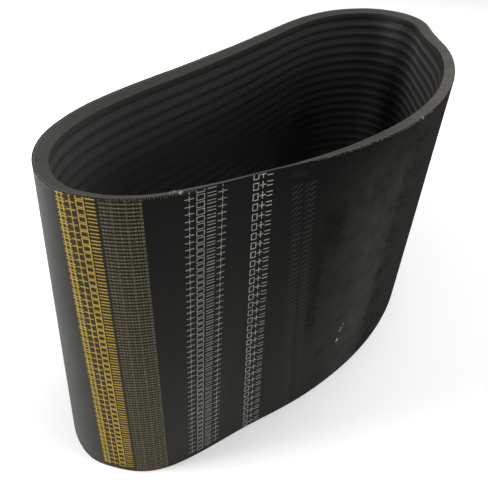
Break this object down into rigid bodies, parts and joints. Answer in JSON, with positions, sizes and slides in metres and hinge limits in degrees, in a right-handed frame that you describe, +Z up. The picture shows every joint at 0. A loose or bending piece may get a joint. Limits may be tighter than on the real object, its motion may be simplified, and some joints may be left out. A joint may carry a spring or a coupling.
{
  "type": "v belt sleeve",
  "caption": "Uncut sleeve of joined V belts standing on a cut edge: a tall, bent oval rubber and canvas wall with ribs running round its inside.",
  "frame": {"origin": "centre of the bounding box on the surface the sleeve stands on", "axes": "+Z up along the sleeve's axis, +X along the long way of the loop, +Y across it"},
  "size_m": [0.5217, 0.2117, 0.248],
  "materials": {
    "cover_canvas": "rubberised canvas cover, dull satin, near black",
    "cover_canvas_raw": "frictioned canvas, dull grey-brown",
    "cushion_rubber": "cut rubber, matt warm grey",
    "tensile_cord": "treated polyester cord",
    "adhesion_rubber": "cut rubber, matt warm grey",
    "strand_rubber": "moulded rubber, soft satin, near black"
  },
  "bodies": {
    "root": {"outer_cover_ply": "cover_canvas", "inner_cover_ply": "cover_canvas_raw", "cushion_rubber": "cushion_rubber", "tensile_cord_winding": "tensile_cord", "adhesion_rubber": "adhesion_rubber", "v_strand_01": "strand_rubber", "v_strand_02": "strand_rubber", "v_strand_03": "strand_rubber", "v_strand_04": "strand_rubber", "v_strand_05": "strand_rubber", "v_strand_06": "strand_rubber", "v_strand_07": "strand_rubber", "v_strand_08": "strand_rubber", "v_strand_09": "strand_rubber", "v_strand_10": "strand_rubber", "v_strand_11": "strand_rubber", "v_strand_12": "strand_rubber", "v_strand_13": "strand_rubber", "v_strand_14": "strand_rubber", "v_strand_15": "strand_rubber", "v_strand_16": "strand_rubber", "v_strand_17": "strand_rubber", "v_strand_18": "strand_rubber", "v_strand_19": "strand_rubber", "v_strand_20": "strand_rubber", "v_strand_21": "strand_rubber", "v_strand_22": "strand_rubber", "v_strand_23": "strand_rubber", "v_strand_24": "strand_rubber"}
  },
  "joints": []
}
